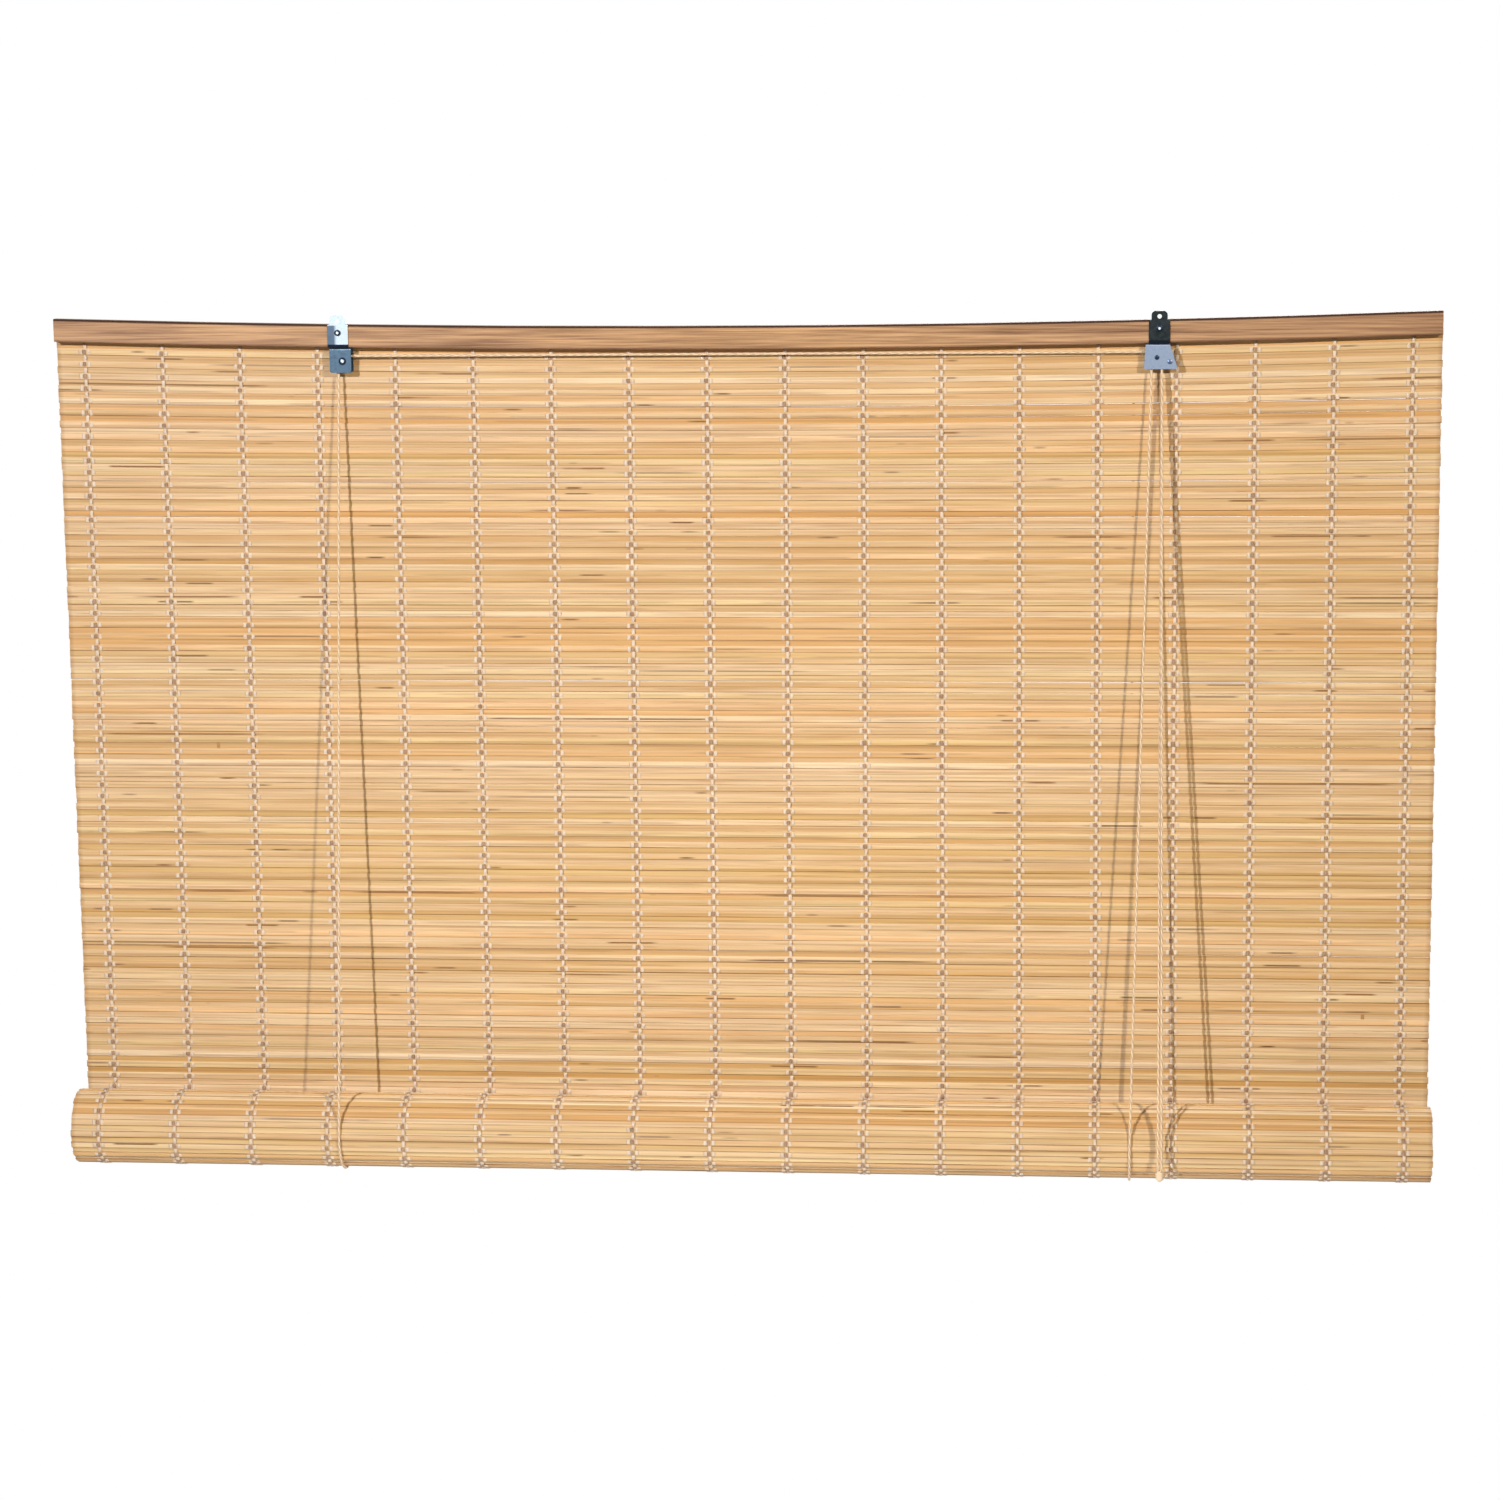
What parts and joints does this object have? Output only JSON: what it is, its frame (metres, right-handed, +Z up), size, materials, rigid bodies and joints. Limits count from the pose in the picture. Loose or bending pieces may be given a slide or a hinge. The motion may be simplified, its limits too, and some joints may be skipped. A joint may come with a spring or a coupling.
{
  "type": "bamboo roll up blind",
  "caption": "Woven bamboo slat blind hung from a wooden head rail, its lower end rolled up in cord slings that run over pulleys to a cord lock and pull cord.",
  "frame": {"origin": "midway between the two hanging holes, at the hanger plates' back face", "axes": "+Z up, +X along the head rail to the right seen from the front, front towards -Y"},
  "size_m": [1.4, 0.1013, 0.8841],
  "materials": {
    "rail_wood": "planed softwood lath, satin",
    "bamboo": "split bamboo slats, satin",
    "warp_thread": "twisted cotton thread",
    "cord": "braided cotton cord",
    "zinc_sheet": "zinc-plated pressed sheet",
    "steel_wire": "bright steel",
    "pulley_nylon": "moulded nylon",
    "cam_zinc": "die-cast zinc"
  },
  "bodies": {
    "head": {"head_rail": "rail_wood", "hanger_plate_left": "zinc_sheet", "hanger_plate_right": "zinc_sheet", "plate_screws": "steel_wire", "rail_staples": "steel_wire", "bamboo_mat": "bamboo", "warp_threads": "warp_thread", "pulley_housing": "zinc_sheet", "lock_housing": "zinc_sheet", "housing_screws": "steel_wire", "axle_rivets": "steel_wire", "cord_knots": "cord", "lift_cord_left_back": "cord", "lift_cord_right_back": "cord", "lift_cord_left_front": "cord", "lift_cord_right_front": "cord", "cross_cord": "cord", "lock_cord": "cord", "pull_cord_upper": "cord"},
    "slings": {"lift_cord_left_sling": "cord", "lift_cord_right_sling": "cord", "pull_cord_lower": "cord"},
    "roll": {"mat_roll": "bamboo", "roll_threads": "warp_thread", "bottom_rail": "rail_wood"},
    "left_pulley": {"cord_pulley": "pulley_nylon"},
    "right_pulley": {"lock_pulley": "pulley_nylon"},
    "cam": {"lock_cam": "cam_zinc"},
    "pull_end": {"pull_knot": "cord"}
  },
  "joints": [
    {"name": "roll_lift", "type": "slide", "parent": "head", "child": "slings", "axis": [0, 0, 1], "range_m": [0, 0.7], "deforming": ["bamboo_mat", "warp_threads", "lift_cord_left_back", "lift_cord_right_back", "lift_cord_left_front", "lift_cord_right_front", "pull_cord_upper"]},
    {"name": "roll_turn", "type": "hinge", "parent": "slings", "child": "roll", "pos_m": [0, -0.02275, -0.837], "axis": [-1, 0, 0], "range_deg": [0, 1084.5]},
    {"name": "left_pulley_turn", "type": "hinge", "parent": "head", "child": "left_pulley", "pos_m": [-0.4089, 0.005, -0.0405], "axis": [0, 1, 0], "continuous": true},
    {"name": "right_pulley_turn", "type": "hinge", "parent": "head", "child": "right_pulley", "pos_m": [0.41065, 0.005, -0.0405], "axis": [0, 1, 0], "continuous": true},
    {"name": "cam_release", "type": "hinge", "parent": "head", "child": "cam", "pos_m": [0.4235, 0.005, -0.045], "axis": [0, -1, 0], "range_deg": [0, 40]},
    {"name": "pull_draw", "type": "slide", "parent": "slings", "child": "pull_end", "axis": [0, 0, -1], "range_m": [0, 2.101], "deforming": ["pull_cord_lower"]}
  ],
  "couplings": [
    {"joint": "roll_turn", "follows": "roll_lift", "rad_per_m": 27.027},
    {"joint": "pull_draw", "follows": "roll_lift", "ratio": 3}
  ]
}
